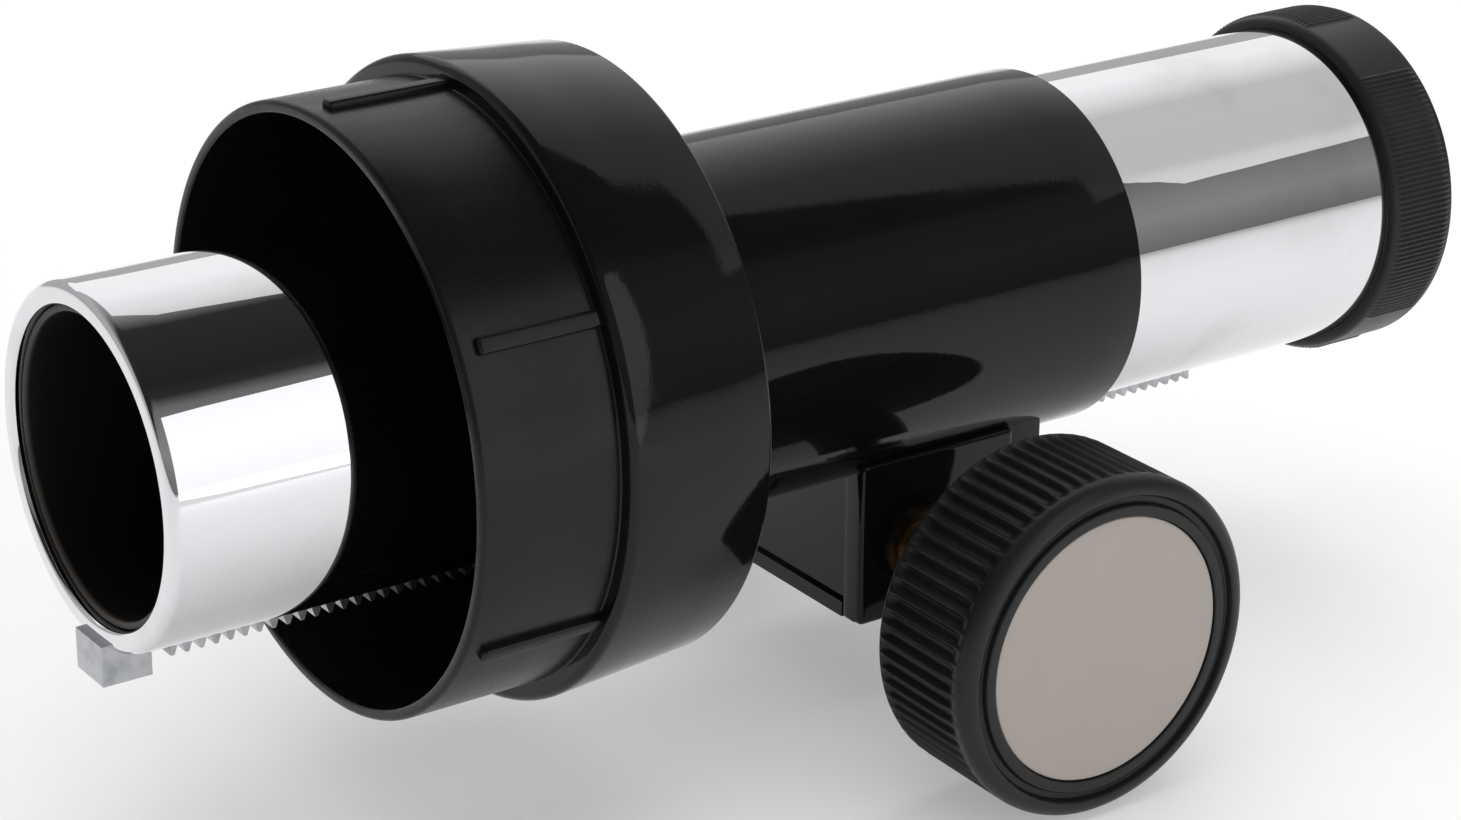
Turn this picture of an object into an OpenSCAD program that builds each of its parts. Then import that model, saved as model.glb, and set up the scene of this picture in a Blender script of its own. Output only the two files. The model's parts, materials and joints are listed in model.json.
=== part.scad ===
// Rack and pinion focuser for a small refracting telescope.
// Origin: on the optical axis, in the plane of the flange shoulder that meets the telescope tube.
// +X runs along the optical axis towards the eyepiece, +Z is up, the focusing shaft lies along Y.
// Every dimension is in millimetres, and the drawtube stands part way out.

/* [Telescope end] */
// Outside diameter of the spigot that enters the telescope tube
spigot_od = 61.5; // [56:0.1:80]
// Length of the spigot ahead of the shoulder
spigot_len = 15.1; // [10:0.1:24]
// Wall of the spigot and of the cup behind it
spigot_wall = 1.25; // [1:0.05:2]
// Number of raised rails round the spigot
rail_count = 6; // [3:1:12]
// Width of a rail
rail_w = 1.7; // [1:0.1:4]
// Height of a rail above the spigot
rail_h = 0.75; // [0.3:0.05:1]
// Distance from the spigot's rim to the start of the rails
rail_setback = 2; // [0.5:0.1:6]
// Width of the shoulder, from the spigot to the flange's edge
shoulder_w = 2.05; // [1.5:0.05:5]
// Loss of flange diameter from the shoulder to its back face
flange_taper = 2.4; // [0:0.1:3]
// Length of the flange
flange_len = 16.7; // [12:0.1:26]
// Thickness of the floor that joins the flange to the barrel
floor_t = 3.7; // [2.5:0.1:6]
// Bevel on the flange's front edge
flange_bevel = 0.8; // [0.2:0.1:0.9]

/* [Barrel] */
// Length of the barrel behind the flange
barrel_len = 56.55; // [50:0.05:80]
// Wall of the barrel
barrel_wall = 1.15; // [1:0.05:3]
// Thickness of the glide strips bonded in the barrel
strip_t = 0.2; // [0.1:0.05:0.5]
// Width of a glide strip
strip_w = 9; // [5:0.5:12]

/* [Drawtube] */
// Outside diameter of the drawtube
tube_od = 36; // [34.4:0.1:44]
// Bore of the drawtube, which takes the eyepiece barrel
eyepiece_bore = 31.9; // [31.8:0.02:32.1]
// Reach of the drawtube ahead of the shoulder
tube_front = 39.8; // [30:0.1:50]
// Bare drawtube between the barrel and the eyepiece ring
tube_bare = 36.75; // [20:0.05:50]
// Bevel of the drawtube's front lip
lip_bevel = 0.7; // [0.2:0.1:1]
// Height of the step that narrows the bore ahead of the eyepiece socket
socket_step = 0.25; // [0.2:0.05:0.5]
// Wall of the dark liner inside the drawtube
liner_wall = 0.75; // [0.6:0.05:1.4]
// Depth of the eyepiece socket, from the ring's back face to the step
socket_depth = 34; // [26:0.5:42]

/* [Eyepiece ring] */
// Wall of the ring round the drawtube
ring_wall = 1.5; // [1:0.1:4]
// Length of the ring
ring_len = 9.3; // [8:0.1:16]
// Thickness of the ring behind the drawtube's end
ring_back = 3.3; // [2:0.1:5]
// Bevel on the ring's outer edges
ring_bevel = 0.6; // [0.2:0.1:0.7]

/* [Eyepiece lock screw] */
// Diameter of the lock screw's thread
lock_d = 3.9; // [3:0.1:4.5]
// Diameter of its head
lock_head_d = 9; // [7:0.5:12]
// Length of its head
lock_head_len = 5.5; // [4:0.5:8]
// Gap under its head with the screw backed off
lock_lift = 1.7; // [1.6:0.1:3]
// Direction of the lock screw, turned from straight up
lock_angle = 120; // [90:5:150]

/* [Rack and pinion] */
// Gear module of the rack and the pinion
gear_module = 0.5; // [0.4:0.05:0.6]
// Number of teeth on the pinion
pinion_teeth = 20; // [18:1:22]
// Width of the rack
rack_w = 5.5; // [4:0.1:7]
// Depth of the flat groove in the drawtube that seats the rack
rack_sink = 0.8; // [0.6:0.05:1]
// Thickness of the rack from its back to the pitch line
rack_t = 2.3; // [2:0.1:3]
// How far the rack stands out ahead of the drawtube's lip
rack_proud = 0.6; // [0:0.1:2]
// Length of the rack
rack_len = 136.4; // [120:0.2:150]
// Length of the stop block on the rack's front end
stop_len = 5.2; // [3:0.1:8]
// Depth of the stop block below the tips of the teeth
stop_drop = 1.4; // [0.8:0.1:2]
// Distance from the shoulder to the pinion's axis
pinion_x = 48.8; // [46:0.1:56]
// Width of the pinion
pinion_w = 7; // [5:0.5:9]
// Diameter of the focusing shaft
shaft_d = 4; // [3:0.1:5]

/* [Gearbox] */
// Gap between the pinion and the gearbox's front wall
wheel_gap = 0.3; // [0.2:0.05:4]
// Distance from the pinion's axis to the back of the gearbox
box_behind = 16.7; // [12:0.1:20]
// Width of the gearbox between the outsides of its walls
box_w = 26.4; // [24:0.2:34]
// Thickness of the side walls
box_wall = 2.2; // [1.8:0.1:3]
// Thickness of the end walls
end_wall = 1.5; // [1.2:0.1:1.6]
// Setback of the front wall behind the side walls
face_setback = 0.5; // [0:0.1:0.6]
// Height of the bearing pads above the side walls
pad_h = 1; // [0.5:0.1:1.5]
// Length of the bearing pads
pad_len = 20; // [14:0.5:24]
// Slit between a bearing pad and the barrel
pad_drop = 0.7; // [0.3:0.1:1.5]
// Thickness of the cover plate
cover_t = 1.7; // [1.4:0.1:2.5]
// Gap between the pinion and the cover plate
cover_gap = 0.5; // [0.3:0.1:1.5]

/* [Knobs] */
// Diameter of the focusing knobs
knob_d = 36.6; // [30:0.2:44]
// Length of a knob's grip
knob_len = 14.3; // [12:0.1:18]
// Distance from the optical axis to a knob's outer face
knob_reach = 44.8; // [42:0.1:52]
// Number of grip ribs round a knob
rib_count = 68; // [36:4:80]
// Depth of the grip ribs
rib_depth = 0.7; // [0.3:0.1:1]
// Width of the rim round the disc set in a knob's face
rim_w = 4.2; // [3.6:0.1:7]
// Thickness of the disc
disc_t = 1.2; // [0.8:0.1:2]

/* [Fits] */
// Radial clearance of running fits
run_gap = 0.05; // [0.02:0.01:0.1]
// Radial clearance of fixed fits
fixed_gap = 0.01; // [0.01:0.01:0.03]
// Clearance beside a moving part that only passes by
pass_gap = 0.5; // [0.3:0.1:0.8]
// Loss of tooth thickness on each gear, for backlash
backlash = 0.06; // [0.04:0.01:0.1]

/* [Hidden] */
$fn = 96;
through = 1;

spigot_r = spigot_od / 2;
cup_r = spigot_r - spigot_wall;
flange_r = spigot_r + shoulder_w;
floor_x = flange_len - floor_t;
barrel_x = flange_len + barrel_len;

tube_r = tube_od / 2;
socket_r = eyepiece_bore / 2;
guide_r = tube_r + run_gap + strip_t;
barrel_r = guide_r + barrel_wall;
ring_r = tube_r + ring_wall;
ring_x = barrel_x + tube_bare;
ring_end = ring_x + ring_len;
tube_end = ring_end - ring_back;
socket_x = ring_end - socket_depth;
bore_r = socket_r - socket_step;
liner_r = bore_r - run_gap;
liner_front = 1;

pitch = gear_module * PI;
rack_back = tube_r - rack_sink;
pressure_angle = 20;
pitch_z = rack_back + rack_t;
tip_z = pitch_z + gear_module;
root_z = pitch_z - 1.25 * gear_module;
rack_x = -tube_front - rack_proud;
rack_end = rack_x + rack_len;
stop_end = rack_x + stop_len;
slot_w = rack_w + 2 * pass_gap;
slot_z = tip_z + pass_gap;
pinion_r = gear_module * pinion_teeth / 2;
pinion_tip_r = pinion_r + gear_module;
shaft_z = pitch_z + pinion_r;
shaft_r = shaft_d / 2;

cavity_x0 = pinion_x - pinion_tip_r - wheel_gap;
box_x0 = cavity_x0 - end_wall - face_setback;
box_x1 = pinion_x + box_behind;
box_y = box_w / 2;
cavity_x1 = box_x1 - end_wall;
cavity_y = box_y - box_wall;
pad_y = box_y + pad_h;
cover_top = shaft_z + pinion_tip_r + cover_gap;
box_z = cover_top + cover_t;
wall_top = sqrt(pow(guide_r, 2) - pow(pad_y, 2)) - 0.5;
pad_top = sqrt(pow(barrel_r, 2) - pow(pad_y, 2)) + pad_drop;
post_l = 2.4;
post_w = 4;
post_y = cavity_y - 3;

screw_r = 0.95;
head_r = 1.8;
head_h = 0.9;
cover_screw_len = 6;
cover_screw_x = [cavity_x0 + (post_l - end_wall) / 2, cavity_x1 - (post_l - end_wall) / 2];
rack_screw_z = socket_r + run_gap;
rack_screw_len = rack_back - rack_screw_z + 1.4;
rack_screw_x = [rack_x + 10, rack_x + rack_len / 2, rack_end - 8];

bush_r = 3.2;
bush_flange_r = 4.2;
bush_flange_t = 0.8;
bush_proud = 0.4;
clip_r = 3.2;
clip_t = 0.6;
clip_gap = 0.35;

saddle_l = 5.4;
saddle_w = 3.6;
saddle_drop = 4.1;
saddle_rise = 0.7;
tension_r = 1.5;
boss_r = 2.8;
saddle_y = pinion_w / 2 + boss_r + 0.3;
boss_h = 0.9;
hex_r = 0.8;
hex_depth = 1.2;

knob_r = knob_d / 2;
knob_back = knob_reach - knob_len;
web_t = 2.5;
hub_r = 5;
hub_start = pad_y + bush_flange_t + bush_proud + 1.6;
hub_end = knob_back + 5.7;
shaft_half = hub_end - 0.2;
disc_r = knob_r - rim_w;
disc_ledge = 0.8;
disc_sink = 0.3;
shoulder_l = 2;
shoulder_drop = 1.4;
collar_l = 0.8;
groove_r0 = disc_r + 1.3;
groove_r1 = disc_r + 2.3;
groove_depth = 0.5;
end_screw_r = 1.25;
end_screw_len = 7.7;
end_head_r = 2.75;
end_head_h = 1.8;
driver_w = 0.7;
driver_depth = 0.8;

lock_r = lock_d / 2;
lock_x = (ring_x + tube_end) / 2;
lock_seat = ring_r + lock_lift;
lock_start = socket_r + 0.8;
nylon_r = lock_r - 0.75;
nylon_proud = 0.4;
nylon_len = 1.6;

// A solid or hollow round bar along X
module bar_x(x0, x1, r) {
    translate([x0, 0, 0]) rotate([0, 90, 0]) cylinder(h = x1 - x0, r = r);
}

module cone_x(x0, x1, r0, r1) {
    translate([x0, 0, 0]) rotate([0, 90, 0]) cylinder(h = x1 - x0, r1 = r0, r2 = r1);
}

module tube_x(x0, x1, outer, inner) {
    difference() {
        bar_x(x0, x1, outer);
        bar_x(x0 - through, x1 + through, inner);
    }
}

// A block given by its lowest and highest corners
module block(low, high) {
    translate(low) cube(high - low);
}

// Places a shape on the focusing shaft, with its own +Z pointing out to the near side
module on_shaft() {
    translate([pinion_x, 0, -shaft_z]) rotate([90, 0, 0]) children();
}

// The same on the far side
module on_far_shaft() {
    mirror([0, 1, 0]) on_shaft() children();
}

module bar(z0, z1, r) {
    translate([0, 0, z0]) cylinder(h = z1 - z0, r = r);
}

// Places a shape on the lock screw's axis, with its own +Z pointing away from the optical axis
module at_lock() {
    translate([lock_x, 0, 0]) rotate([-lock_angle, 0, 0]) children();
}

// A countersunk screw whose head faces up at z = 0 and whose shank runs down
module countersunk(len, shank, head, head_len) {
    translate([0, 0, -len]) cylinder(h = len - head_len, r = shank);
    translate([0, 0, -head_len]) cylinder(h = head_len, r1 = shank, r2 = head);
}

module at_cover_screws() {
    for (x = cover_screw_x, y = [-post_y, post_y])
        translate([x, y, -box_z]) rotate([180, 0, 0]) children();
}

module at_rack_screws() {
    for (x = rack_screw_x)
        translate([x, 0, -rack_screw_z]) children();
}

module housing_outside() {
    bar_x(-spigot_len, flange_len, spigot_r);
    cone_x(0, flange_bevel, flange_r - flange_bevel, flange_r);
    cone_x(flange_bevel, flange_len, flange_r, flange_r - flange_taper / 2);
    bar_x(floor_x, barrel_x, barrel_r);
    for (i = [0:rail_count - 1])
        rotate([i * 360 / rail_count, 0, 0])
            block([rail_setback - spigot_len, -rail_w / 2, cup_r + spigot_wall / 2],
                [flange_bevel, rail_w / 2, spigot_r + rail_h]);
    for (side = [-1, 1]) {
        block([box_x0, min(side * cavity_y, side * box_y), -box_z],
            [box_x1, max(side * cavity_y, side * box_y), -wall_top]);
        block([box_x0, min(side * cavity_y, side * pad_y), -box_z],
            [box_x0 + pad_len, max(side * cavity_y, side * pad_y), -pad_top]);
    }
    block([box_x0 + face_setback, -cavity_y, -cover_top], [cavity_x0, cavity_y, -wall_top]);
    block([cavity_x1, -cavity_y, -cover_top], [box_x1, cavity_y, -wall_top]);
    for (side = [-1, 1]) {
        block([cavity_x0, side * post_y - post_w / 2, -cover_top],
            [cavity_x0 + post_l, side * post_y + post_w / 2, -wall_top]);
        block([cavity_x1 - post_l, side * post_y - post_w / 2, -cover_top],
            [cavity_x1, side * post_y + post_w / 2, -wall_top]);
    }
}

// Black moulding: spigot, cup, flange, barrel and the walls of the gearbox
module housing() {
    color("#17171a") difference() {
        housing_outside();
        bar_x(-spigot_len - through, floor_x, cup_r);
        bar_x(floor_x - through, barrel_x + through, guide_r);
        block([floor_x - through, -slot_w / 2, -slot_z], [barrel_x + through, slot_w / 2, 0]);
        block([cavity_x0, -pinion_w / 2 - pass_gap, -shaft_z], [cavity_x1, pinion_w / 2 + pass_gap, 0]);
        on_shaft() bar(-pad_y - through, pad_y + through, bush_r + fixed_gap);
        at_cover_screws() bar(-cover_screw_len - 0.3, 0, screw_r);
    }
}

// Three slippery strips bonded along the inside of the barrel
module glide_strips() {
    color("#e8e6de") for (a = [0, 120, 240])
        intersection() {
            tube_x(floor_x, barrel_x, guide_r - fixed_gap, tube_r + run_gap);
            rotate([a, 0, 0]) block([floor_x, -strip_w / 2, 0], [barrel_x, strip_w / 2, barrel_r]);
        }
}

// Plate that closes the gearbox, with a tapped boss for each tension screw
module gearbox_cover() {
    color("#1b1b1e") difference() {
        union() {
            block([box_x0, -cavity_y + fixed_gap, -box_z], [box_x1, cavity_y - fixed_gap, -cover_top]);
            for (y = [-saddle_y, saddle_y])
                translate([pinion_x, y, -cover_top - 0.2]) cylinder(h = boss_h + 0.2, r = boss_r);
        }
        for (y = [-saddle_y, saddle_y])
            translate([pinion_x, y, -box_z - through]) cylinder(h = 20, r = tension_r + fixed_gap);
        at_cover_screws() {
            countersunk(cover_screw_len, screw_r + fixed_gap, head_r + fixed_gap, head_h);
            cylinder(h = through, r = head_r + fixed_gap);
        }
    }
}

module cover_screws() {
    color("#8d8d90") at_cover_screws() difference() {
        countersunk(cover_screw_len, screw_r - fixed_gap, head_r, head_h);
        translate([-head_r, -0.25, -0.5]) cube([2 * head_r, 0.5, 1]);
    }
}

// Flanged brass bush in a side wall
module bush() {
    difference() {
        union() {
            bar(cavity_y, pad_y + fixed_gap, bush_r);
            bar(pad_y + fixed_gap, pad_y + bush_flange_t, bush_flange_r);
            bar(pad_y + bush_flange_t, pad_y + bush_flange_t + bush_proud, bush_r);
        }
        bar(0, knob_reach, shaft_r + run_gap);
    }
}

module bush_near() {
    color("#b08d4c") on_shaft() bush();
}

module bush_far() {
    color("#b08d4c") on_far_shaft() bush();
}

// Nylon saddles that press up on the shaft on both sides of the pinion
module tension_pads() {
    color("#f0efe9") for (y = [-saddle_y, saddle_y])
        difference() {
            block([pinion_x - saddle_l / 2, y - saddle_w / 2, -shaft_z - saddle_drop],
                [pinion_x + saddle_l / 2, y + saddle_w / 2, -shaft_z - saddle_rise]);
            on_shaft() bar(-pad_y, pad_y, shaft_r + run_gap);
        }
}

// Socket grub screws that set how hard the saddles press
module tension_screws() {
    color("#3a3a3d") for (y = [-saddle_y, saddle_y])
        translate([pinion_x, y, -box_z + 0.3]) difference() {
            cylinder(h = box_z - 0.3 - shaft_z - saddle_drop, r = tension_r);
            translate([0, 0, -through]) cylinder(h = through + hex_depth, r = hex_r, $fn = 6);
        }
}

// Chromed tube that carries the eyepiece and slides in the barrel
module drawtube() {
    color("#dfe1e4") difference() {
        union() {
            cone_x(-tube_front, lip_bevel - tube_front, tube_r - lip_bevel, tube_r);
            bar_x(lip_bevel - tube_front, tube_end, tube_r);
        }
        bar_x(-tube_front - through, tube_end, bore_r);
        bar_x(socket_x, tube_end + through, socket_r);
        block([-tube_front - through, -rack_w / 2 - fixed_gap, -tube_r - through],
            [rack_end + fixed_gap, rack_w / 2 + fixed_gap, -rack_back + fixed_gap]);
        at_rack_screws() {
            countersunk(rack_screw_len + through, screw_r + fixed_gap, head_r + fixed_gap, head_h);
            cylinder(h = through, r = head_r + fixed_gap);
        }
        at_lock() bar(0, 2 * ring_r, lock_r + 0.35);
    }
}

// Dark sleeve that blackens the inside of the drawtube
module tube_liner() {
    color("#2a2420") tube_x(liner_front - tube_front, socket_x, liner_r, liner_r - liner_wall);
}

// One tooth space of the rack at the origin, open downwards
module rack_space() {
    half = pitch / 4 + backlash / 2;
    slope = tan(pressure_angle);
    depth = 1.25 * gear_module;
    open = gear_module + through;
    translate([0, rack_w, -pitch_z]) rotate([90, 0, 0]) linear_extrude(height = 2 * rack_w)
        polygon([
            [-half + depth * slope, depth],
            [half - depth * slope, depth],
            [half + open * slope, -open],
            [-half - open * slope, -open]
        ]);
}

// Toothed bar under the drawtube, with the block that stops it at the cup's floor
module rack() {
    first = ceil((stop_end + 2) / pitch);
    last = floor((rack_end - 0.6) / pitch);
    color("#c9cbce") difference() {
        union() {
            block([rack_x, -rack_w / 2, -tip_z], [rack_end, rack_w / 2, -rack_back]);
            block([rack_x, -rack_w / 2, -tip_z - stop_drop], [stop_end, rack_w / 2, -rack_back]);
        }
        for (i = [first:last])
            translate([(i + 0.5) * pitch, 0, 0]) rack_space();
        block([stop_end, -rack_w, -tip_z - through], [stop_end + 2, rack_w, -root_z]);
        at_rack_screws() bar(-rack_screw_len - 0.1, through, screw_r);
    }
}

module rack_screws() {
    color("#9a9a9d") at_rack_screws() difference() {
        countersunk(rack_screw_len, screw_r - fixed_gap, head_r, head_h);
        translate([-head_r, -0.25, -0.5]) cube([2 * head_r, 0.5, 1]);
    }
}

// Grip ring on the drawtube's back end; its bore is the mouth of the eyepiece socket
module eyepiece_ring() {
    color("#141416") difference() {
        union() {
            cone_x(ring_x, ring_x + ring_bevel, ring_r - ring_bevel, ring_r);
            bar_x(ring_x + ring_bevel, ring_end - ring_bevel, ring_r);
            cone_x(ring_end - ring_bevel, ring_end, ring_r, ring_r - ring_bevel);
        }
        bar_x(ring_x - through, tube_end, tube_r + fixed_gap);
        bar_x(tube_end - through, ring_end + through, socket_r);
        at_lock() bar(0, 2 * ring_r, lock_r + run_gap);
    }
}

// Nylon tip set in the end of the lock screw
module lock_screw_tip() {
    color("#f0efe9") at_lock() bar(lock_start - nylon_proud, lock_start - nylon_proud + nylon_len, nylon_r);
}

// Knurled screw that clamps the eyepiece barrel
module lock_screw() {
    color("#c2c3c6") at_lock() difference() {
        union() {
            bar(lock_start, lock_seat, lock_r);
            bar(lock_seat, lock_seat + 0.8, lock_head_d / 2 - 1);
            bar(lock_seat + 0.8, lock_seat + lock_head_len, lock_head_d / 2);
        }
        bar(lock_start - through, lock_start - nylon_proud + nylon_len + run_gap, nylon_r + run_gap);
    }
}

// Steel shaft from knob to knob, tapped at both ends
module pinion_shaft() {
    color("#b9babd") on_shaft() difference() {
        bar(-shaft_half, shaft_half, shaft_r);
        bar(shaft_half - end_screw_len, shaft_half + through, end_screw_r + fixed_gap);
        bar(-shaft_half - through, end_screw_len - shaft_half, end_screw_r + fixed_gap);
    }
}

function involute(angle) = tan(angle) * 180 / PI - angle;

// Half of a pinion tooth's angle, in degrees, at the radius r
function half_tooth(r) =
    90 / pinion_teeth - backlash / 2 / pinion_r * 180 / PI
    + involute(pressure_angle) - involute(acos(pinion_r * cos(pressure_angle) / r));

function polar(r, angle) = [r * cos(angle), r * sin(angle)];

module pinion_profile() {
    base_r = pinion_r * cos(pressure_angle) + 0.001;
    root_r = pinion_r - 1.25 * gear_module;
    steps = 4;
    radii = [for (i = [0:steps]) base_r + (pinion_tip_r - base_r) * i / steps];
    polygon([
        for (t = [0:pinion_teeth - 1])
            let (mid = t * 360 / pinion_teeth)
                each concat(
                    [polar(root_r, mid - half_tooth(base_r))],
                    [for (r = radii) polar(r, mid - half_tooth(r))],
                    [for (i = [steps:-1:0]) polar(radii[i], mid + half_tooth(radii[i]))],
                    [polar(root_r, mid + half_tooth(base_r))]
                )
    ]);
}

// Pinion pressed on the shaft, turned so that a tooth meets the rack's tooth space
module pinion_gear() {
    lead = (pinion_x / pitch - 0.5 - floor(pinion_x / pitch - 0.5)) * 360 / pinion_teeth;
    color("#c9a75e") on_shaft() difference() {
        rotate([0, 0, 90 + lead]) translate([0, 0, -pinion_w / 2])
            linear_extrude(height = pinion_w) pinion_profile();
        bar(-pinion_w, pinion_w, shaft_r + fixed_gap);
    }
}

// Retaining rings on the shaft, just inside the two bushes
module shaft_clips() {
    color("#4a4a4e") for (side = [0, 1])
        mirror([0, side, 0]) on_shaft() difference() {
            bar(cavity_y - clip_gap - clip_t, cavity_y - clip_gap, clip_r);
            bar(0, knob_reach, shaft_r + fixed_gap);
        }
}

module ribbed_outline() {
    step = 360 / rib_count;
    low = knob_r - rib_depth;
    polygon([
        for (i = [0:rib_count - 1])
            each [
                polar(low, (i + 0.08) * step),
                polar(knob_r, (i + 0.30) * step),
                polar(knob_r, (i + 0.70) * step),
                polar(low, (i + 0.92) * step)
            ]
    ]);
}

// Ribbed knob with a hub on its inner side and a seat for the disc in its face
module knob() {
    floor_z = knob_back + web_t;
    disc_z = knob_reach - disc_sink - disc_t;
    difference() {
        union() {
            bar(hub_start, hub_end, hub_r);
            bar(knob_back, knob_back + collar_l, knob_r - rib_depth);
            translate([0, 0, knob_back + collar_l])
                linear_extrude(height = knob_len - collar_l - shoulder_l) ribbed_outline();
            translate([0, 0, knob_reach - shoulder_l])
                cylinder(h = shoulder_l, r1 = knob_r - rib_depth / 2, r2 = knob_r - shoulder_drop);
        }
        difference() {
            bar(floor_z, knob_reach + through, disc_r - disc_ledge);
            bar(floor_z - through, hub_end, hub_r);
        }
        bar(disc_z, knob_reach + through, disc_r + fixed_gap);
        difference() {
            bar(knob_reach - groove_depth, knob_reach + through, groove_r1);
            bar(knob_reach - groove_depth - through, knob_reach + 2 * through, groove_r0);
        }
        bar(0, knob_reach, shaft_r + fixed_gap);
    }
}

module knob_near() {
    color("#1d1d20") on_shaft() knob();
}

module knob_far() {
    color("#1d1d20") on_far_shaft() knob();
}

// Plain disc that closes the knob's face
module knob_disc() {
    translate([0, 0, knob_reach - disc_sink - disc_t]) cylinder(h = disc_t, r = disc_r);
}

module knob_disc_near() {
    color("#a39b95") on_shaft() knob_disc();
}

module knob_disc_far() {
    color("#a39b95") on_far_shaft() knob_disc();
}

// Screw under the disc that holds the knob on the shaft's end
module knob_screw() {
    difference() {
        union() {
            bar(shaft_half - end_screw_len + 0.5, hub_end, end_screw_r);
            bar(hub_end, hub_end + end_head_h, end_head_r);
        }
        translate([-end_head_r, -driver_w / 2, hub_end + end_head_h - driver_depth])
            cube([2 * end_head_r, driver_w, driver_depth + through]);
    }
}

module knob_screw_near() {
    color("#9a9a9d") on_shaft() knob_screw();
}

module knob_screw_far() {
    color("#9a9a9d") on_far_shaft() knob_screw();
}

housing();
glide_strips();
gearbox_cover();
cover_screws();
bush_near();
bush_far();
tension_pads();
tension_screws();
drawtube();
tube_liner();
rack();
rack_screws();
eyepiece_ring();
lock_screw_tip();
lock_screw();
pinion_shaft();
pinion_gear();
shaft_clips();
knob_near();
knob_far();
knob_disc_near();
knob_disc_far();
knob_screw_near();
knob_screw_far();
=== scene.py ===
import json
import math

import bmesh
import bpy
from mathutils import Matrix, Vector


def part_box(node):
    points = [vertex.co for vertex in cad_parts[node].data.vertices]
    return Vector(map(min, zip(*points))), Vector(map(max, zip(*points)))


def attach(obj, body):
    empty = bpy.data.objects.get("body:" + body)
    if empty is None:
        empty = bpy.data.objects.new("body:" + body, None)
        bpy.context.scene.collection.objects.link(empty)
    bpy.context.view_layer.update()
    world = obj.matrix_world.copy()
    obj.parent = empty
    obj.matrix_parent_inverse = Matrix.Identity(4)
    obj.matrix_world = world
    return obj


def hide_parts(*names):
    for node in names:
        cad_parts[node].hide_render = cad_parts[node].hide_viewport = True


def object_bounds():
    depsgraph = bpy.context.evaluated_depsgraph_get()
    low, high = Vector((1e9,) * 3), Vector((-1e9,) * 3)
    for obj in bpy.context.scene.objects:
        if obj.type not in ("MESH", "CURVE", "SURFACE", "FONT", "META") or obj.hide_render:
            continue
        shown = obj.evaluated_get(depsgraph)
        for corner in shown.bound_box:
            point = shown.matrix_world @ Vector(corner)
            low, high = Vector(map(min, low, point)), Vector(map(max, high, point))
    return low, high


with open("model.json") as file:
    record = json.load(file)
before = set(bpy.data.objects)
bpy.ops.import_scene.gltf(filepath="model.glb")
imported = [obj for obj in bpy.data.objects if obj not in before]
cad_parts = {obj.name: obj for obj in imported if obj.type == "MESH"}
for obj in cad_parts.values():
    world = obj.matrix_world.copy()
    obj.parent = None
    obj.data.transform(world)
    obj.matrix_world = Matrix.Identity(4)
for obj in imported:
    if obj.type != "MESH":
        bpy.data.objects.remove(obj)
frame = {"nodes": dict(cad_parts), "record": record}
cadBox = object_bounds()
mm = 0.001
boxes = {}  # each node's corners, kept once measured
print("frame loaded:", len(frame["nodes"]), "nodes")


# a node's lowest and highest corners in millimetres, measured once
def corners(node):
    if node not in boxes:
        boxes[node] = [Vector(corner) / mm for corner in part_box(node)]
    return boxes[node]


def low(node):
    return corners(node)[0]


def high(node):
    return corners(node)[1]


class Wire:
    def __init__(self, tree, socket=None):
        self.tree = tree
        self.socket = socket

    def make(self, kind, settings=None, sockets=None, out=0):
        node = self.tree.nodes.new(kind)
        for name, value in (settings or {}).items():
            if name == "stops":
                setStops(node.color_ramp, value)
            else:
                setattr(node, name, value)
        for name, value in (sockets or {}).items():
            if isinstance(value, Wire):
                self.tree.links.new(value.socket, node.inputs[name])
            else:
                node.inputs[name].default_value = value
        return Wire(self.tree, node.outputs[out])

    def maths(self, operation, first, second=0.0):
        return self.make("ShaderNodeMath", {"operation": operation}, {0: first, 1: second})

    def __add__(self, other):
        return self.maths("ADD", self, other)

    def __sub__(self, other):
        return self.maths("SUBTRACT", self, other)

    def __rsub__(self, other):
        return self.maths("SUBTRACT", other, self)

    def __mul__(self, other):
        return self.maths("MULTIPLY", self, other)

    __radd__ = __add__
    __rmul__ = __mul__

    # 0 below start, 1 above end, smooth between
    def step(self, start, end):
        return self.make("ShaderNodeMapRange", {"interpolation_type": "SMOOTHSTEP"},
                         {"Value": self, "From Min": start, "From Max": end})

    def axis(self, name):
        return self.make("ShaderNodeSeparateXYZ", None, {0: self}, name)

    # noise whose scale is given per millimetre
    def noise(self, scale, detail=3.0, stretch=(1, 1, 1)):
        spread = self.make("ShaderNodeVectorMath", {"operation": "MULTIPLY"}, {0: self, 1: stretch})
        return self.make("ShaderNodeTexNoise", None,
                         {"Vector": spread, "Scale": scale / mm, "Detail": detail})

    # one colour where this is 0 and the other where it is 1; 6 and 7 are the mix's colours, out 2 its result
    def tint(self, zero, one):
        return self.make("ShaderNodeMix", {"data_type": "RGBA"}, {0: self, 6: (*zero, 1), 7: (*one, 1)}, 2)

    # bump whose height is given in millimetres
    def bump(self, height, under=None):
        sockets = {"Height": self, "Strength": 1.0, "Distance": height * mm}
        if under is not None:
            sockets["Normal"] = under
        return self.make("ShaderNodeBump", None, sockets)


def setStops(ramp, stops):
    while len(ramp.elements) < len(stops):
        ramp.elements.new(1.0)
    for element, (place, tone) in zip(ramp.elements, stops):
        element.position = place
        element.color = (tone, tone, tone, 1)


# paint gives what changes over the surface, and fixed the sockets that stay the same
def material(name, paint, **fixed):
    made = bpy.data.materials.new(name)
    made.use_nodes = True
    tree = made.node_tree
    shader = tree.nodes["Principled BSDF"]
    for socket, value in fixed.items():
        shader.inputs[socket.replace("_", " ")].default_value = value
    where = Wire(tree).make("ShaderNodeTexCoord", None, None, "Object")
    for socket, wire in paint(where).items():
        tree.links.new(wire.socket, shader.inputs[socket])
    return made


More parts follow.
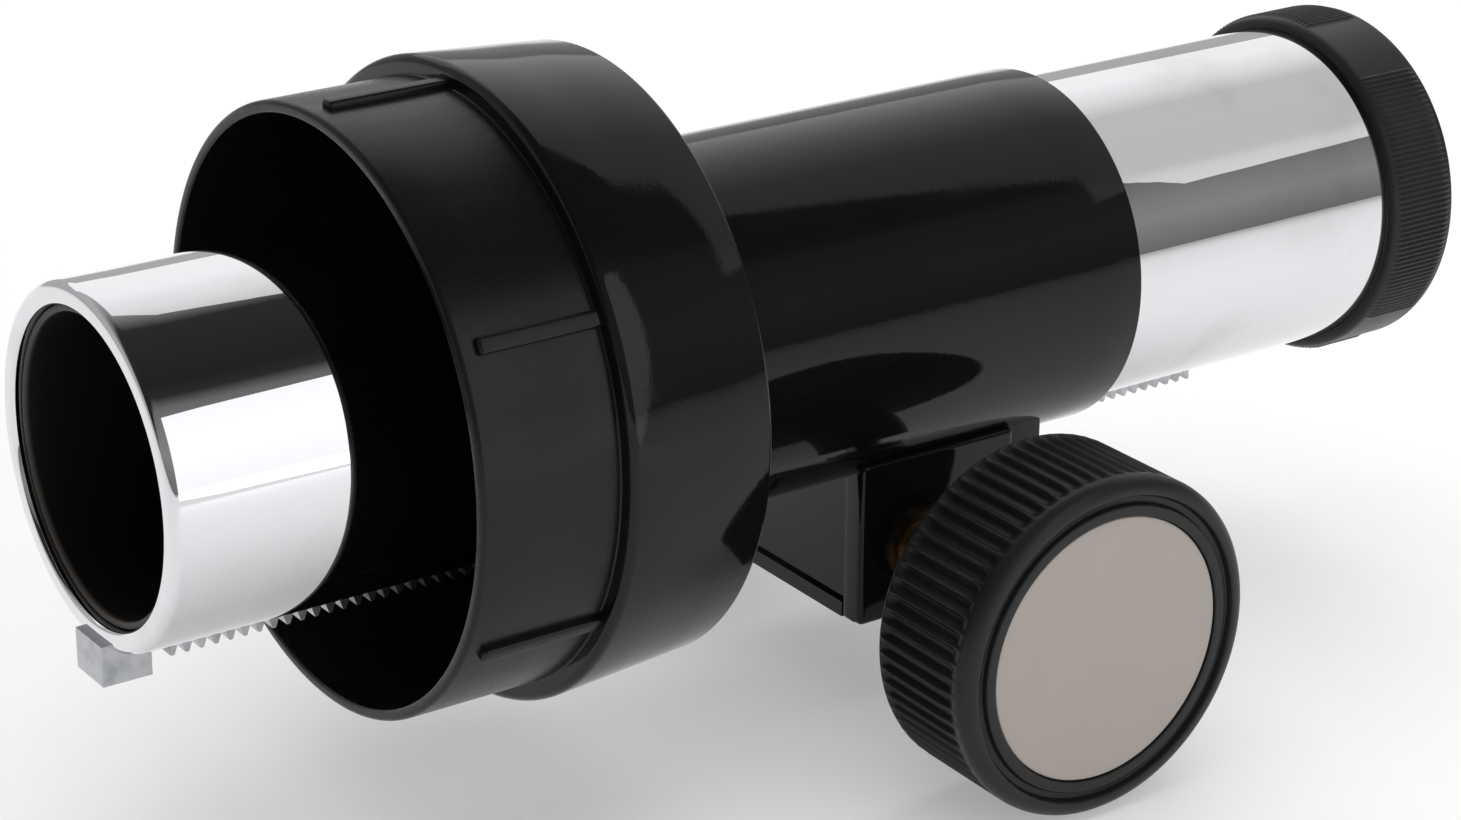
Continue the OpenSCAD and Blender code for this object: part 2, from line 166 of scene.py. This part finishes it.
glossBlackLook = {"dark": (0.0035, 0.0035, 0.004), "light": (0.006, 0.006, 0.0065), "cloudScale": 0.05,
                  "rough": 0.055, "smudge": 0.05, "smudgeScale": 0.12, "smudgeStretch": (1, 4, 4),
                  "smudgeFrom": 0.42, "smudgeTo": 0.75, "peel": 0.0035, "peelScale": 2.2, "swellScale": 0.25,
                  "spigotRough": 0.22, "spigotFrom": -0.8, "spigotTo": 0.2, "flow": 0.009, "flowScale": 0.7,
                  "flowStretch": (0.7, 1.5, 1.5)}


# glossy moulding with faint smudges, duller and slightly wavy on the spigot
def glossBlackPaint(where):
    look = glossBlackLook
    spigot = 1 - where.axis("X").step(look["spigotFrom"] * mm, look["spigotTo"] * mm)
    cloud = where.noise(look["cloudScale"])
    smudge = where.noise(look["smudgeScale"], 4, look["smudgeStretch"])
    smudge = smudge.step(look["smudgeFrom"], look["smudgeTo"])
    flow = where.noise(look["flowScale"], 3, look["flowStretch"]) * spigot
    fine = where.noise(look["peelScale"], 2)
    rough = smudge * look["smudge"] + look["rough"] + spigot * look["spigotRough"] * (fine * 0.5 + 0.75)
    swell = where.noise(look["swellScale"], 2).bump(look["peel"])
    relief = fine.bump(look["peel"], flow.bump(look["flow"], swell))
    return {"Base Color": cloud.tint(look["dark"], look["light"]), "Roughness": rough, "Normal": relief}


satinBlackLook = {"dark": (0.008, 0.008, 0.0085), "light": (0.013, 0.013, 0.0135), "cloudScale": 0.14,
                  "rough": 0.36, "roughVary": 0.1, "polish": 0.05, "polishFrom": 0.45, "polishTo": 0.7,
                  "grain": 0.004, "grainScale": 5.5, "swellScale": 1.1}


# grained moulding, handled a little smoother in clouds
def satinBlackPaint(where):
    look = satinBlackLook
    grain = where.noise(look["grainScale"], 3)
    cloud = where.noise(look["cloudScale"], 3)
    rough = grain * look["roughVary"] + look["rough"]
    rough = rough - cloud.step(look["polishFrom"], look["polishTo"]) * look["polish"]
    relief = grain.bump(look["grain"], where.noise(look["swellScale"], 3).bump(look["grain"]))
    return {"Base Color": cloud.tint(look["dark"], look["light"]), "Roughness": rough, "Normal": relief}


chromeLook = {"clean": (0.77, 0.775, 0.795), "dull": (0.68, 0.685, 0.7), "rough": 0.012, "haze": 0.035,
              "hazeScale": 0.09, "hazeFrom": 0.5, "hazeTo": 0.8, "dirt": 0.03, "dirtScale": 0.6,
              "dirtFrom": 0.62, "dirtTo": 0.8, "wave": 0.010, "waveScale": 0.11, "scratch": 0.0003,
              "scratchScale": 1.4, "scratchStretch": (0.06, 1, 1)}


# bright plate with a thin haze, specks of dirt and fine marks drawn along the tube
def chromePaint(where):
    look = chromeLook
    haze = where.noise(look["hazeScale"], 4).step(look["hazeFrom"], look["hazeTo"])
    scratch = where.noise(look["scratchScale"], 2, look["scratchStretch"])
    dirt = where.noise(look["dirtScale"], 5).step(look["dirtFrom"], look["dirtTo"])
    rough = haze * look["haze"] + look["rough"] + dirt * look["dirt"]
    relief = scratch.bump(look["scratch"], where.noise(look["waveScale"], 2).bump(look["wave"]))
    return {"Base Color": haze.tint(look["clean"], look["dull"]), "Roughness": rough, "Normal": relief}


# rim is the colour of the painted highlight on the front edge and bore the sleeve's own dark tone; rimFrom
# and rimTo bound the highlighted band in millimetres
linerLook = {"bore": (0.003, 0.0026, 0.0024), "rim": (0.035, 0.028, 0.024), "rimFrom": 0.2, "rimTo": 0.6,
             "rough": 0.45, "roughVary": 0.1, "grain": 0.004, "grainScale": 6}


# painted highlight: the sleeve's front edge is coloured lighter than its bore, as light falls on that edge
def linerPaint(where):
    look = linerLook
    front = low("tube_liner").x * mm
    # 1 on the thin front band that carries the painted highlight, 0 in the bore
    paintedHighlightEdge = 1 - where.axis("X").step(front + look["rimFrom"] * mm, front + look["rimTo"] * mm)
    fine = where.noise(look["grainScale"], 3)
    return {"Base Color": (paintedHighlightEdge * (fine * 0.4 + 0.8)).tint(look["bore"], look["rim"]),
            "Roughness": fine * look["roughVary"] + look["rough"], "Normal": fine.bump(look["grain"])}


metalLook = {"stainScale": 0.5, "stainFrom": 0.4, "stainTo": 0.75, "grainScale": 4, "swellScale": 0.9,
             "roughVary": 0.12}


# bare metal, stained in patches from clean to dull; stretch draws the grain out
def metalPaint(clean, dull, rough, grain, stretch=(1, 1, 1)):
    def paint(where):
        look = metalLook
        stain = where.noise(look["stainScale"], 4).step(look["stainFrom"], look["stainTo"])
        fine = where.noise(look["grainScale"], 3, stretch)
        return {"Base Color": stain.tint(clean, dull), "Roughness": fine * look["roughVary"] + rough,
                "Normal": fine.bump(grain, where.noise(look["swellScale"], 3).bump(grain))}
    return paint


mattLook = {"cloudScale": 0.2, "grainScale": 6, "roughVary": 0.12}


def mattPaint(dark, light, rough, grain):
    def paint(where):
        look = mattLook
        cloud = where.noise(look["cloudScale"], 4)
        fine = where.noise(look["grainScale"], 3)
        return {"Base Color": cloud.tint(dark, light), "Roughness": fine * look["roughVary"] + rough,
                "Normal": fine.bump(grain)}
    return paint


# colours, roughness and grain height of each plain finish, and for the shaft the way its grain runs
rackMetal = ((0.5, 0.51, 0.53), (0.36, 0.37, 0.39), 0.3, 0.01)
bushBrass = ((0.36, 0.25, 0.13), (0.2, 0.13, 0.07), 0.3, 0.002)
shaftSteel = ((0.55, 0.55, 0.56), (0.4, 0.4, 0.41), 0.2, 0.001, (1, 0.05, 1))
screwSteel = ((0.62, 0.62, 0.64), (0.45, 0.45, 0.46), 0.18, 0.002)
darkSteel = ((0.1, 0.1, 0.105), (0.06, 0.06, 0.065), 0.35, 0.003)
discGrey = ((0.36, 0.322, 0.295), (0.375, 0.336, 0.308), 0.5, 0.001)
waxyWhite = ((0.72, 0.70, 0.65), (0.78, 0.76, 0.71), 0.35, 0.002)

finishes = {
    "black_moulding": material("glossBlack", glossBlackPaint, IOR=1.34),
    "satin_black": material("satinBlack", satinBlackPaint, IOR=1.36),
    "chrome_plate": material("chromePlate", chromePaint, Metallic=1.0),
    "disc_grey": material("discGrey", mattPaint(*discGrey)),
    "dark_liner": material("darkLiner", linerPaint, IOR=1.4),
    "rack_metal": material("rackMetal", metalPaint(*rackMetal), Metallic=1.0),
    "bush_brass": material("bushBrass", metalPaint(*bushBrass), Metallic=1.0),
    "shaft_steel": material("shaftSteel", metalPaint(*shaftSteel), Metallic=1.0),
    "screw_steel": material("screwSteel", metalPaint(*screwSteel), Metallic=1.0),
    "dark_steel": material("darkSteel", metalPaint(*darkSteel), Metallic=1.0),
    "slippery_plastic": material("waxyWhite", mattPaint(*waxyWhite)),
}
print("finishes made:", len(finishes))


def link(name, data):
    made = bpy.data.objects.new(name, data)
    bpy.context.scene.collection.objects.link(made)
    return made


def piece(name, verts, faces):
    mesh = bpy.data.meshes.new(name)
    mesh.from_pydata(verts, [], faces)
    made = link(name, mesh)
    tidyMesh(made)
    return made


# doubled points merged, slivers dissolved, all faces turned outwards
def tidyMesh(made):
    work = bmesh.new()
    work.from_mesh(made.data)
    bmesh.ops.remove_doubles(work, verts=work.verts, dist=1e-7)
    bmesh.ops.dissolve_degenerate(work, edges=work.edges, dist=1e-8)
    bmesh.ops.recalc_face_normals(work, faces=work.faces)
    work.to_mesh(made.data)
    work.free()


def smooth(made, angle=32):
    made.data.polygons.foreach_set("use_smooth", [True] * len(made.data.polygons))
    made.data.set_sharp_from_angle(angle=math.radians(angle))
    made.data.update()


# closed outline from turns of (along, radius, fillet), each fillet an arc; edges over longest are split
def outline(turns, longest=None, steps=5):
    points = []
    count = len(turns)
    for i, (a, r, fillet) in enumerate(turns):
        here = Vector((a, r))
        if fillet <= 0:
            points.append(here)
            continue
        back = (Vector(turns[i - 1][:2]) - here).normalized()
        ahead = (Vector(turns[(i + 1) % count][:2]) - here).normalized()
        half = back.angle(ahead) / 2
        centre = here + (back + ahead).normalized() * (fillet / math.sin(half))
        first = here + back * (fillet / math.tan(half)) - centre
        last = here + ahead * (fillet / math.tan(half)) - centre
        sweep = first.angle_signed(last)
        for k in range(steps + 1):
            points.append(centre + Matrix.Rotation(-sweep * k / steps, 2) @ first)
    if longest is None:
        return points
    split = []
    for i, point in enumerate(points):
        after = points[(i + 1) % len(points)]
        parts = max(1, math.ceil((after - point).length / longest))
        split += [point.lerp(after, k / parts) for k in range(parts)]
    return split


# a closed outline turned about an axis; shape may move a point's radius by where it is
def lathe(name, points, place, segments=256, shape=None):
    verts = []
    for k in range(segments):
        turn = 2 * math.pi * k / segments
        for point in points:
            r = shape(point.x, point.y, turn) if shape else point.y
            verts.append(place(point.x * mm, r * mm, turn))
    count = len(points)
    faces = []
    for k in range(segments):
        for i in range(count):
            a, b = k * count + i, k * count + (i + 1) % count
            c, d = (k + 1) % segments * count + i, (k + 1) % segments * count + (i + 1) % count
            faces.append((a, b, d, c))
    return piece(name, verts, faces)


# a block between two opposite corners, its edges rounded by radius
def block(name, first, last, radius, steps=3):
    work = bmesh.new()
    bmesh.ops.create_cube(work, size=1)
    size = Vector(last) - Vector(first)
    middle = (Vector(last) + Vector(first)) / 2
    for vert in work.verts:
        vert.co = vert.co * size + middle
    if radius > 0:
        bmesh.ops.bevel(work, geom=work.edges[:], offset=radius, segments=steps, profile=0.5, affect="EDGES")
    for vert in work.verts:
        vert.co *= mm
    mesh = bpy.data.meshes.new(name)
    work.to_mesh(mesh)
    work.free()
    made = link(name, mesh)
    tidyMesh(made)
    return made


def combine(target, tool, operation):
    change = target.modifiers.new("combine", "BOOLEAN")
    change.operation = operation
    change.solver = "EXACT"
    change.object = tool
    graph = bpy.context.evaluated_depsgraph_get()
    result = bpy.data.meshes.new_from_object(target.evaluated_get(graph))
    target.modifiers.clear()
    old = target.data
    target.data = result
    bpy.data.meshes.remove(old)
    bpy.data.objects.remove(tool)


def joined(pieces):
    work = bmesh.new()
    for part in pieces:
        part.data.transform(part.matrix_world)
        work.from_mesh(part.data)
    work.to_mesh(pieces[0].data)
    work.free()
    pieces[0].matrix_world = Matrix.Identity(4)
    for part in pieces[1:]:
        bpy.data.objects.remove(part)
    return pieces[0]


def dress(made, slotName, body, *nodes, angle=32):
    smooth(made, angle)
    made.data.materials.clear()
    made.data.materials.append(finishes[slotName])
    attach(made, body)
    if nodes:
        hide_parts(*nodes)
    print("piece:", made.name, len(made.data.polygons), "faces")


# places for the lathe: about the optical axis, about the pinion's shaft, about the lock screw
def alongAxis(a, r, turn):
    return (a, -r * math.sin(turn), r * math.cos(turn))


shaftMid = (low("pinion_shaft") + high("pinion_shaft")) / 2


def acrossShaft(side):
    def place(a, r, turn):
        return (shaftMid.x * mm + r * math.cos(turn), -side * a, shaftMid.z * mm + r * math.sin(turn))
    return place


# the lock screw's hole: where it is along the axis, its lean from level and how far out the drill goes
lockHole = {"x": 113.0, "lean": 30.0, "tubeR": 2.3, "ringR": 2.0, "start": 10, "end": 25}


def acrossLock(a, r, turn):
    lean = math.radians(lockHole["lean"])
    away = Vector((0, math.cos(lean), -math.sin(lean)))
    side = away.cross(Vector((1, 0, 0)))
    spot = Vector((lockHole["x"] * mm, 0, 0)) + away * a
    return spot + Vector((1, 0, 0)) * r * math.cos(turn) + side * r * math.sin(turn)


def drill(target, radius, start, end, place, segments=64):
    rod = outline([(start, 0, 0), (start, radius, 0), (end, radius, 0), (end, 0, 0)])
    combine(target, lathe("drill", rod, place, segments), "DIFFERENCE")


# 0 at each whole turn, 1 halfway
def wave(value):
    return 0.5 - 0.5 * math.cos(value)


# 0 before first, 1 after last, smooth between
def ease(value, first, last):
    t = min(1, max(0, (value - first) / (last - first)))
    return t * t * (3 - 2 * t)


housing = {"cupR": 29.5, "spigotR": 30.75, "flangeBackR": 31.6, "barrelR": 19.4, "boreR": 18.25,
           "floorX": 13.0, "flangeX": 16.7, "railCount": 6, "railW": 1.7, "railTop": 31.5, "railStart": -13.1,
           "railEnd": 0.4, "railSunk": 0.7, "railRound": 0.34, "wall": 2.2, "wallTop": -10.5,
           "wallRound": 0.35, "coverDeep": 1.7, "setback": 0.5, "endWall": 1.5, "endWallTop": -14,
           "bite": 0.3, "padSunk": 0.4, "padH": 1.0, "padTop": -13.9, "padEnd": 61.0, "padRound": 0.7,
           "padBelow": 0.05, "slotHalf": 3.25, "slotZ": -20.5, "cutTop": -10, "windowHalf": 4.0,
           "bushR": 3.21, "bushReach": 20, "margin": 1}


# cup, flange and barrel are one turning; the rails and the gearbox walls join it, and the bore, rack slot,
# gear window and bush holes are cut after them
def buildHousing():
    h = housing
    rim, back, flangeR = low("housing").x, high("housing").x, high("housing").z
    shell = lathe("housingShell", outline([
        (rim, h["cupR"], 0.3), (rim, h["spigotR"], 0.55), (0, h["spigotR"], 0.2), (0, flangeR, 0.9),
        (h["flangeX"], h["flangeBackR"], 0.5), (h["flangeX"], h["barrelR"], 0.35), (back, h["barrelR"], 0.2),
        (back, h["boreR"], 0.2), (h["floorX"], h["boreR"], 0.3), (h["floorX"], h["cupR"], 1.2)], 6),
        alongAxis)
    rails = []
    for i in range(h["railCount"]):
        rail = block("rail", (h["railStart"], -h["railW"] / 2, h["spigotR"] - h["railSunk"]),
                     (h["railEnd"], h["railW"] / 2, h["railTop"]), h["railRound"], 4)
        rail.matrix_world = Matrix.Rotation(2 * math.pi * i / h["railCount"], 4, "X")
        rails.append(rail)
    combine(shell, joined(rails), "UNION")

    front, bottom = low("gearbox_cover").x, low("gearbox_cover").z
    rear, inner = high("gearbox_cover").x, high("gearbox_cover").y
    outer = inner + h["wall"]
    for side in (1, -1):
        near, far = sorted((side * inner, side * outer))
        combine(shell, block("sideWall", (front, near, bottom), (rear, far, h["wallTop"]), h["wallRound"]),
                "UNION")
        near, far = sorted((side * (inner + h["padSunk"]), side * (outer + h["padH"])))
        combine(shell, block("pad", (front, near, bottom - h["padBelow"]), (h["padEnd"], far, h["padTop"]),
                             h["padRound"], 5), "UNION")
    face, half, cover = front + h["setback"], inner + h["bite"], bottom + h["coverDeep"]
    walls = (("frontWall", face, face + h["endWall"]), ("backWall", rear - h["endWall"], rear))
    for name, start, end in walls:
        combine(shell, block(name, (start, -half, cover), (end, half, h["endWallTop"]), 0), "UNION")

    start, end = h["floorX"] + h["margin"], back - h["margin"]
    drill(shell, h["boreR"], start, end, alongAxis, 256)
    start, end = h["floorX"] - h["margin"], back + h["margin"]
    combine(shell, block("slot", (start, -h["slotHalf"], h["slotZ"]), (end, h["slotHalf"], h["cutTop"]), 0),
            "DIFFERENCE")
    combine(shell, block("window", (face + h["endWall"], -h["windowHalf"], shaftMid.z),
                         (rear - h["endWall"], h["windowHalf"], h["cutTop"]), 0), "DIFFERENCE")
    drill(shell, h["bushR"], -h["bushReach"], h["bushReach"], acrossShaft(1))
    tidyMesh(shell)
    dress(shell, "black_moulding", "housing", "housing")


buildHousing()


tube = {"bore": 15.7, "socket": 15.95, "socketX": 85.3, "lip": 0.95, "inner": 0.5, "linerWall": 0.75,
        "grooveHalf": 2.76, "grooveGap": 0.01, "margin": 1}


def buildTube():
    front, end, r = low("drawtube").x, high("drawtube").x, high("drawtube").z
    shell = lathe("chromeTube", outline([
        (front, tube["bore"], tube["inner"]), (front, r, tube["lip"]), (end, r, 0.15),
        (end, tube["socket"], 0.1),
        (tube["socketX"], tube["socket"], 0), (tube["socketX"], tube["bore"], 0)], 4, 8), alongAxis)
    half, gap, margin = tube["grooveHalf"], tube["grooveGap"], tube["margin"]
    combine(shell, block("groove", (front - margin, -half, -r - margin),
                         (high("rack").x + gap, half, high("rack").z + gap), 0), "DIFFERENCE")
    drill(shell, lockHole["tubeR"], lockHole["start"], lockHole["end"], acrossLock)
    dress(shell, "chrome_plate", "drawtube", "drawtube")
    front, end, r = low("tube_liner").x, high("tube_liner").x, high("tube_liner").z
    inner = r - tube["linerWall"]
    sleeve = lathe("linerSleeve", outline([
        (front, inner, 0.25), (front, r, 0.25), (end, r, 0.1), (end, inner, 0.2)], 3), alongAxis)
    dress(sleeve, "dark_liner", "drawtube", "tube_liner")


buildTube()


ring = {"bore": 15.95, "seat": 18.01, "back": 3.3, "ribs": 200, "stepsPerRib": 8, "ribHeight": 0.28,
        "margin": 1.1, "sectors": 3, "sectorWidth": 92, "sectorStart": 36, "sectorFade": 1.2,
        "skin": 0.5, "endFade": 0.3, "valley": 0.35}


# lowers the outer face between the ribbed sectors and inside the plain bands at both ends
def ringRib(a, r, turn):
    if r < ring["seat"] + ring["skin"]:
        return r
    degrees = math.degrees(turn) % 360
    period = 360 / ring["sectors"]
    inside = (degrees - ring["sectorStart"]) % period
    fade, width = ring["sectorFade"], ring["sectorWidth"]
    sector = ease(inside, 0, fade) * (1 - ease(inside, width - fade, width))
    first, last = low("eyepiece_ring").x + ring["margin"], high("eyepiece_ring").x - ring["margin"]
    fade = ring["endFade"]
    along = ease(a, first - fade, first + fade) * (1 - ease(a, last - fade, last + fade))
    rib = ring["valley"] + (1 - ring["valley"]) * wave(turn * ring["ribs"])
    return r - ring["ribHeight"] * (1 - sector * along * rib)


def buildRing():
    front, end, r = low("eyepiece_ring").x, high("eyepiece_ring").x, high("eyepiece_ring").z
    step = end - ring["back"]
    shell = lathe("gripRing", outline([
        (front, ring["seat"], 0.1), (front, r, 0.9), (end, r, 0.7), (end, ring["bore"], 0.5),
        (step, ring["bore"], 0.05), (step, ring["seat"], 0.05)], 0.45, 6),
        alongAxis, ring["stepsPerRib"] * ring["ribs"], ringRib)
    drill(shell, lockHole["ringR"], lockHole["start"], lockHole["end"], acrossLock)
    dress(shell, "satin_black", "drawtube", "eyepiece_ring", angle=50)


buildRing()


knob = {"ribs": 68, "stepsPerRib": 12, "length": 14.3, "flute": 0.62, "fluteRound": 2.2, "fluteSkin": 0.9,
        "fluteStart": 0.5, "fluteFull": 1.3, "fluteThin": 2.9, "fluteEnd": 1.75, "hub": 5.0, "bore": 2.01,
        "discR": 14.22, "discEdge": 14.1, "discGap": 0.02, "ledge": 13.3, "disc": 1.2, "sink": 0.3,
        "web": 2.5, "boss": 5.7, "grooveIn": 15.35, "grooveOut": 16.45, "grooveDeep": 0.75}


# scoops between the ribs, fading out towards both ends of the grip
def knobFlute(reach, back):
    k = knob

    def shape(a, r, turn):
        if r < k["grooveOut"] + k["fluteSkin"] or a < back:
            return r
        rise = ease(a, back + k["fluteStart"], back + k["fluteFull"])
        fall = ease(a, reach - k["fluteThin"], reach - k["fluteEnd"])
        scoop = 1 - wave(turn * k["ribs"]) ** k["fluteRound"]
        return r - k["flute"] * (rise * (1 - fall)) * scoop
    return shape


def buildKnob(side, name):
    k = knob
    lowest, highest = low("knob_" + name), high("knob_" + name)
    start, reach = sorted((abs(lowest.y), abs(highest.y)))
    r = (highest.x - lowest.x) / 2
    back, face = reach - k["length"], reach - k["sink"]
    seat, floor = face - k["disc"], reach - k["grooveDeep"]
    shell = lathe(name + "Knob", outline([
        (start, k["bore"], 0.1), (start, k["hub"], 0.5), (back, k["hub"], 0.8), (back, r - 0.1, 0.8),
        (reach, r - 0.02, 1.5), (reach, k["grooveOut"], 0.25), (floor, k["grooveOut"] - 0.25, 0.2),
        (floor, k["grooveIn"] + 0.15, 0.2), (reach - 0.1, k["grooveIn"], 0.2),
        (reach - 0.1, k["discR"], 0.12), (seat, k["discR"], 0), (seat, k["ledge"], 0),
        (back + k["web"], k["ledge"], 0.3), (back + k["web"], k["hub"], 0.3),
        (back + k["boss"], k["hub"], 0.2), (back + k["boss"], k["bore"], 0)], 0.55, 6),
        acrossShaft(side), k["stepsPerRib"] * k["ribs"], knobFlute(reach, back))
    dress(shell, "satin_black", "focus_drive", "knob_" + name, angle=60)
    under = seat + k["discGap"]
    plate = lathe(name + "Disc", outline([
        (under, 0, 0), (under, k["discEdge"], 0.1), (face, k["discEdge"], 0.16), (face, 0, 0)], 2.5),
        acrossShaft(side), 192)
    dress(plate, "disc_grey", "focus_drive", "knob_disc_" + name)


buildKnob(1, "near")
buildKnob(-1, "far")


lockScrew = {"start": 16.75, "seat": 21.2, "neck": 0.8, "length": 5.5, "shankR": 1.95,
             "neckR": 3.5, "headR": 4.5, "socketEnd": 18.0, "socketR": 1.25, "ribs": 36, "knurl": 0.22,
             "knurlSkin": 0.3, "knurlStart": 0.5, "knurlFull": 0.9, "pitch": 0.7, "thread": 0.16,
             "threadSkin": 0.05, "threadStop": 0.3}


# screw with a threaded shank and a knurled head, hollow at the inner end for its soft tip
def buildLockScrew():
    k = lockScrew
    head = k["seat"] + k["neck"]
    end = k["seat"] + k["length"]

    def shape(a, r, turn):
        if r > k["neckR"] + k["knurlSkin"]:
            rise = ease(a, head + k["knurlStart"], head + k["knurlFull"])
            fall = ease(a, end - k["knurlFull"], end - k["knurlStart"])
            return r - k["knurl"] * (rise * (1 - fall)) * wave(turn * k["ribs"])
        onShank = k["shankR"] - k["threadSkin"] < r < k["shankR"] + k["threadSkin"]
        if onShank and a < k["seat"] - k["threadStop"]:
            return r - k["thread"] * wave(2 * math.pi * a / k["pitch"] - turn)
        return r

    screw = lathe("knurledScrew", outline([
        (k["start"], k["socketR"], 0.05), (k["start"], k["shankR"], 0.1), (k["seat"], k["shankR"], 0.05),
        (k["seat"], k["neckR"], 0.2), (head, k["neckR"], 0.1), (head, k["headR"], 0.35),
        (end, k["headR"], 0.5), (end, 0, 0), (k["socketEnd"], 0, 0), (k["socketEnd"], k["socketR"], 0)],
        0.18, 4), acrossLock, 144, shape)
    dress(screw, "screw_steel", "lock_screw", "lock_screw", angle=45)


buildLockScrew()


# every other node keeps its own shape and takes the finish of its slot
remade = ("housing", "drawtube", "tube_liner", "eyepiece_ring", "knob_near", "knob_far", "knob_disc_near",
          "knob_disc_far", "lock_screw")
for row in frame["record"]["subparts"]:
    if row["node"] not in remade:
        kept = frame["nodes"][row["node"]].data.materials
        kept.clear()
        kept.append(finishes[row["material_slot"]])
print("carried-over nodes finished:", len(frame["nodes"]) - len(remade))


# the floor lies a gap in millimetres below the part; its size is in metres
stage = {"gap": 0.6, "size": 6.0, "dark": (0.6, 0.6, 0.6), "light": (0.62, 0.62, 0.62), "rough": 0.7,
         "glow": 0.32}


def buildFloor():
    height = (cadBox[0][2] / mm - stage["gap"]) * mm
    half = stage["size"] / 2
    floor = piece("paleFloor", [(-half, -half, height), (half, -half, height), (half, half, height),
                                (-half, half, height)], [(0, 1, 2, 3)])
    pale = material("paleSurface", mattPaint(stage["dark"], stage["light"], stage["rough"], 0.0),
                    Emission_Color=(1, 1, 1, 1), Emission_Strength=stage["glow"])
    floor.data.materials.append(pale)


# tones of the soft surround by the angle in degrees from straight up towards the near side; the camera itself
# sees the colour under seen
surround = {"strength": 1.0, "seen": (1, 1, 1, 1),
            "stops": [(-100, 0.45), (-50, 0.5), (-30, 0.30), (-14, 0.03), (26, 0.02), (34, 0.03), (41, 0.17),
                      (57, 0.25), (69, 0.28), (81, 0.22), (92, 0.17), (100, 0.9)]}


def buildSurround():
    world = bpy.data.worlds.new("studio")
    bpy.context.scene.world = world
    world.use_nodes = True
    tree = world.node_tree
    ground = tree.nodes["Background"]
    way = Wire(tree).make("ShaderNodeTexCoord", None, None, "Generated")
    angle = Wire(tree).maths("ARCTAN2", way.axis("Y") * -1, way.axis("Z")) * (0.5 / math.pi) + 0.5
    stops = [((degrees + 180) / 360, tone) for degrees, tone in surround["stops"]]
    tones = angle.make("ShaderNodeValToRGB", {"stops": stops}, {0: angle})
    direct = tones.make("ShaderNodeLightPath", None, None, "Is Camera Ray")
    seen = direct.make("ShaderNodeMix", {"data_type": "RGBA"}, {0: direct, 6: tones, 7: surround["seen"]}, 2)
    tree.links.new(seen.socket, ground.inputs["Color"])
    ground.inputs["Strength"].default_value = surround["strength"]


# sizes and places in metres; a lamp has a power in watts and doesn't show in reflections, and a panel has a
# radiance and does
lamps = {"overhead": {"size": (1.6, 1.6), "power": 15, "place": (0.05, 0.1, 1.2), "aim": (0.03, 0, 0)},
         "nearSide": {"size": (1.2, 0.8), "power": 4, "place": (-0.3, -1.0, 0.5), "aim": (0.03, 0, 0)}}
panels = {"topPanel": {"size": (1.2, 0.9), "radiance": 0.6, "place": (0.454, 0.394, 0.3),
                       "along": (0.6, -0.8, 0), "facing": (0, 0, -1)},
          "frontCard": {"size": (0.115, 0.242), "radiance": 1.05, "place": (0.0845, -0.24, 0.08),
                        "along": (1, 0, 0), "facing": (-0.5, 0.8, -0.36)}}


def areaLight(name, size, power):
    light = bpy.data.lights.new(name, "AREA")
    light.shape = "RECTANGLE"
    light.size, light.size_y = size
    light.energy = power
    made = link(name, light)
    made.visible_camera = False
    return made


def softLamp(name, size, power, place, aim):
    lamp = areaLight(name, size, power)
    lamp.location = place
    lamp.rotation_euler = (Vector(aim) - Vector(place)).to_track_quat("-Z", "Y").to_euler()
    lamp.visible_glossy = False


def softPanel(name, size, radiance, place, along, facing):
    panel = areaLight(name, size, radiance * math.pi * size[0] * size[1])
    back = -Vector(facing).normalized()
    side = (Vector(along) - back * back.dot(Vector(along))).normalized()
    turned = Matrix((side, back.cross(side), back)).transposed().to_4x4()
    panel.matrix_world = Matrix.Translation(Vector(place)) @ turned


# angles in degrees, lens and sensor in millimetres, the rest in metres
view = {"azimuth": -35.274, "elevation": 22.549, "roll": 0.773, "distance": 0.3937,
        "target": (0.03364, -0.00052, -0.01048), "lens": 92.6, "sensor": 36, "nearest": 0.01, "farthest": 20}


def buildCamera():
    azimuth, elevation = math.radians(view["azimuth"]), math.radians(view["elevation"])
    back = Vector((math.sin(azimuth) * math.cos(elevation), -math.cos(azimuth) * math.cos(elevation),
                   math.sin(elevation)))
    camera = link("camera", bpy.data.cameras.new("camera"))
    camera.data.lens = view["lens"]
    camera.data.sensor_width = view["sensor"]
    camera.data.clip_start = view["nearest"]
    camera.data.clip_end = view["farthest"]
    right = Vector((math.cos(azimuth), math.sin(azimuth), 0))
    turned = Matrix((right, back.cross(right), back)).transposed().to_4x4()
    turned = turned @ Matrix.Rotation(math.radians(view["roll"]), 4, "Z")
    camera.matrix_world = Matrix.Translation(Vector(view["target"]) + back * view["distance"]) @ turned
    bpy.context.scene.camera = camera


buildFloor()
buildSurround()
for name, lamp in lamps.items():
    softLamp(name, **lamp)
for name, panel in panels.items():
    softPanel(name, **panel)
buildCamera()
bpy.context.scene.view_settings.view_transform = "Standard"
print("stage, light and camera set")
